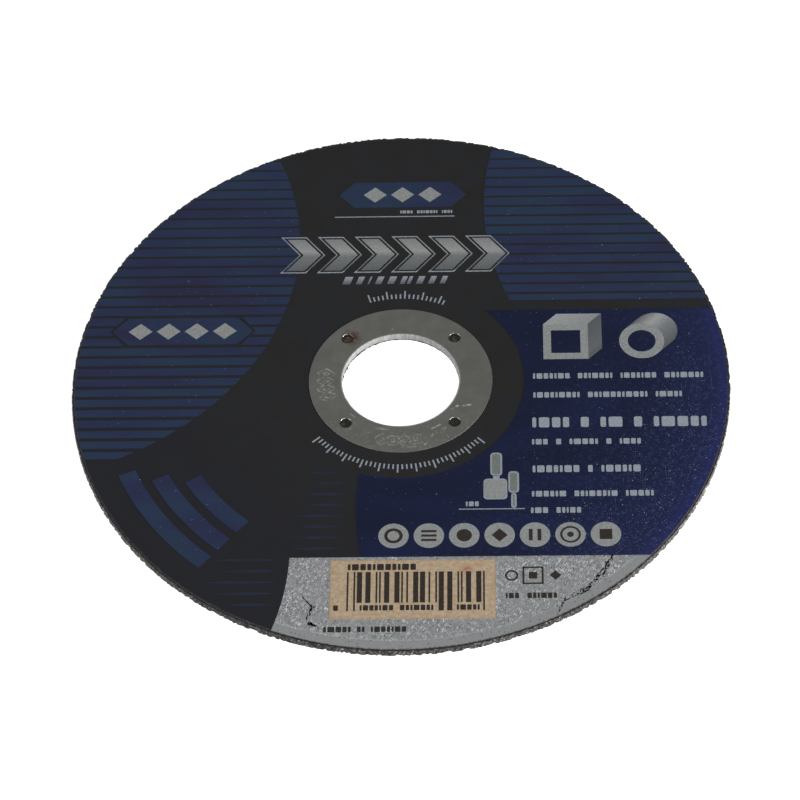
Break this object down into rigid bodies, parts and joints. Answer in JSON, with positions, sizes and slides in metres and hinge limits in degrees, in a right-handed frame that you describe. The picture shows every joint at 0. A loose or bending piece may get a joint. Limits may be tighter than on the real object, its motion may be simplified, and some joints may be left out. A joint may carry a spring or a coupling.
{
  "type": "grinding disc",
  "caption": "Thin flat reinforced cut-off disc for an angle grinder, with a printed foil label and a flanged steel centre ring.",
  "frame": {"origin": "on the bore's axis, in the plane of the back net's outer face, which is what the disc lies on", "axes": "+Z along the bore's axis, out through the label side; +X along the label's lines of print, to the right; +Y towards the top of the label"},
  "size_m": [0.125, 0.125, 0.0016],
  "materials": {
    "abrasive": "rough sawn grain in dark resin",
    "glass_net": "resin-soaked glass roving",
    "foil": "dull silver foil with fine creases",
    "black_ink": "satin black print",
    "blue_ink": "satin dark blue print on foil",
    "grey_ink": "satin grey print",
    "cream_ink": "matt cream print",
    "tinned_steel": "dull tinned sheet steel"
  },
  "bodies": {
    "root": {"abrasive_body": "abrasive", "back_glass_net": "glass_net", "front_glass_net": "glass_net", "foil_label": "foil", "black_print": "black_ink", "blue_print": "blue_ink", "grey_print": "grey_ink", "cream_patch": "cream_ink", "centre_ring": "tinned_steel"}
  },
  "joints": []
}
